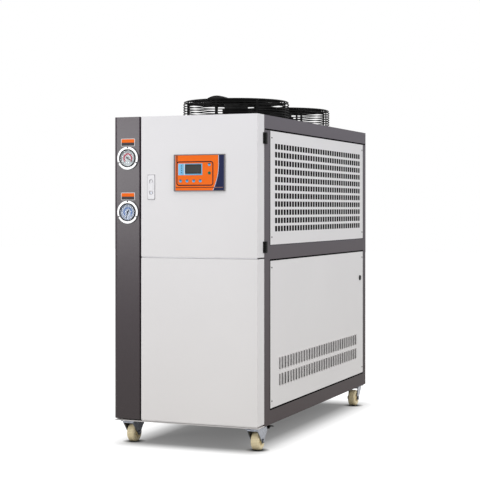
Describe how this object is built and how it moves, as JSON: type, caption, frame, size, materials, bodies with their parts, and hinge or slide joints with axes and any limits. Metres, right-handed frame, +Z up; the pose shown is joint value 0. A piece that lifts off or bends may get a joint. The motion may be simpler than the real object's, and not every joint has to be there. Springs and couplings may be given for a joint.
{
  "type": "air cooled water chiller",
  "caption": "Upright sheet metal water chiller on swivel casters, with roof fans under wire guards, perforated and louvred sides, gauges and a hinged control door.",
  "frame": {"origin": "on the floor under the middle of the cabinet's footprint", "axes": "+X to the right along the front, +Y from the front to the rear, +Z up"},
  "size_m": [0.5748, 1.337, 1.282],
  "materials": {
    "white_paint": "satin powder coat",
    "grey_paint": "fine textured powder coat",
    "black_paint": "satin black paint",
    "zinc_plate": "bright zinc",
    "coil_fins": "dark coated fins",
    "gauge_ring": "polished rim",
    "dial_white": "printed dial",
    "needle_black": "matt black",
    "clear_glass": "clear",
    "black_plastic": "black zinc alloy and nylon look",
    "brass_fitting": "turned brass",
    "latch_grey": "painted zinc alloy",
    "bezel_grey": "moulded bezel",
    "face_orange": "printed overlay",
    "screen_blue": "window over a dark display",
    "key_blue": "domed keys",
    "wheel_cream": "cream nylon",
    "motor_grey": "cast motor housing"
  },
  "bodies": {
    "cabinet": {"base_frame": "grey_paint", "front_posts": "grey_paint", "rear_posts": "grey_paint", "mid_rails": "grey_paint", "roof_cover": "grey_paint", "divider_plate": "zinc_plate", "front_pillar": "grey_paint", "front_lower_panel": "white_paint", "control_box": "white_paint", "mounting_plate": "zinc_plate", "right_grille_panel": "white_paint", "left_grille_panel": "white_paint", "right_louvre_panel": "white_paint", "left_louvre_panel": "white_paint", "rear_upper_panel": "white_paint", "rear_lower_panel": "white_paint", "right_coil": "coil_fins", "left_coil": "coil_fins", "panel_locks": "black_plastic", "gauge_cases": "gauge_ring", "gauge_bezels": "black_plastic", "gauge_dials": "dial_white", "gauge_needles": "needle_black", "gauge_lenses": "clear_glass", "hinge_post_leaves": "black_plastic", "fan_ring_front": "black_paint", "fan_ring_rear": "black_paint", "fan_guard_front": "black_paint", "fan_guard_rear": "black_paint", "fan_motor_front": "motor_grey", "fan_motor_rear": "motor_grey", "cable_cover_front": "black_plastic", "cable_cover_rear": "black_plastic", "caster_plates": "zinc_plate", "water_inlet": "brass_fitting", "water_outlet": "brass_fitting", "drain_port": "brass_fitting", "cable_gland": "black_plastic"},
    "door": {"front_door": "white_paint", "hinge_door_leaves": "black_plastic", "door_latch": "latch_grey", "controller_housing": "bezel_grey", "controller_face": "face_orange", "controller_screen": "screen_blue", "controller_keys": "key_blue"},
    "fan_front": {"fan_rotor_front": "black_paint"},
    "fan_rear": {"fan_rotor_rear": "black_paint"},
    "swivel_front_left": {"caster_fork_front_left": "zinc_plate"},
    "wheel_front_left": {"caster_wheel_front_left": "wheel_cream"},
    "pedal_left": {"brake_pedal_left": "black_paint"},
    "swivel_front_right": {"caster_fork_front_right": "zinc_plate"},
    "wheel_front_right": {"caster_wheel_front_right": "wheel_cream"},
    "pedal_right": {"brake_pedal_right": "black_paint"},
    "swivel_rear_left": {"caster_fork_rear_left": "zinc_plate"},
    "wheel_rear_left": {"caster_wheel_rear_left": "wheel_cream"},
    "swivel_rear_right": {"caster_fork_rear_right": "zinc_plate"},
    "wheel_rear_right": {"caster_wheel_rear_right": "wheel_cream"}
  },
  "joints": [
    {"name": "door_hinge", "type": "hinge", "parent": "cabinet", "child": "door", "pos_m": [0.2853, -0.5865, 0.913], "axis": [0, 0, 1], "range_deg": [0, 120]},
    {"name": "fan_front_spin", "type": "hinge", "parent": "cabinet", "child": "fan_front", "pos_m": [0, -0.1625, 1.188], "axis": [0, 0, 1], "continuous": true},
    {"name": "fan_rear_spin", "type": "hinge", "parent": "cabinet", "child": "fan_rear", "pos_m": [0, 0.3375, 1.188], "axis": [0, 0, 1], "continuous": true},
    {"name": "swivel_front_left_turn", "type": "hinge", "parent": "cabinet", "child": "swivel_front_left", "pos_m": [-0.244, -0.585, 0.0737], "axis": [0, 0, 1], "continuous": true},
    {"name": "wheel_front_left_roll", "type": "hinge", "parent": "swivel_front_left", "child": "wheel_front_left", "pos_m": [-0.244, -0.559, 0.034], "axis": [1, 0, 0], "continuous": true},
    {"name": "pedal_left_press", "type": "hinge", "parent": "swivel_front_left", "child": "pedal_left", "pos_m": [-0.244, -0.525, 0.066], "axis": [-1, 0, 0], "range_deg": [0, 12]},
    {"name": "swivel_front_right_turn", "type": "hinge", "parent": "cabinet", "child": "swivel_front_right", "pos_m": [0.244, -0.585, 0.0737], "axis": [0, 0, 1], "continuous": true},
    {"name": "wheel_front_right_roll", "type": "hinge", "parent": "swivel_front_right", "child": "wheel_front_right", "pos_m": [0.244, -0.559, 0.034], "axis": [1, 0, 0], "continuous": true},
    {"name": "pedal_right_press", "type": "hinge", "parent": "swivel_front_right", "child": "pedal_right", "pos_m": [0.244, -0.525, 0.066], "axis": [-1, 0, 0], "range_deg": [0, 12]},
    {"name": "swivel_rear_left_turn", "type": "hinge", "parent": "cabinet", "child": "swivel_rear_left", "pos_m": [-0.244, 0.6145, 0.0737], "axis": [0, 0, 1], "continuous": true},
    {"name": "wheel_rear_left_roll", "type": "hinge", "parent": "swivel_rear_left", "child": "wheel_rear_left", "pos_m": [-0.244, 0.5885, 0.034], "axis": [1, 0, 0], "continuous": true},
    {"name": "swivel_rear_right_turn", "type": "hinge", "parent": "cabinet", "child": "swivel_rear_right", "pos_m": [0.244, 0.6145, 0.0737], "axis": [0, 0, 1], "continuous": true},
    {"name": "wheel_rear_right_roll", "type": "hinge", "parent": "swivel_rear_right", "child": "wheel_rear_right", "pos_m": [0.244, 0.5885, 0.034], "axis": [1, 0, 0], "continuous": true}
  ]
}
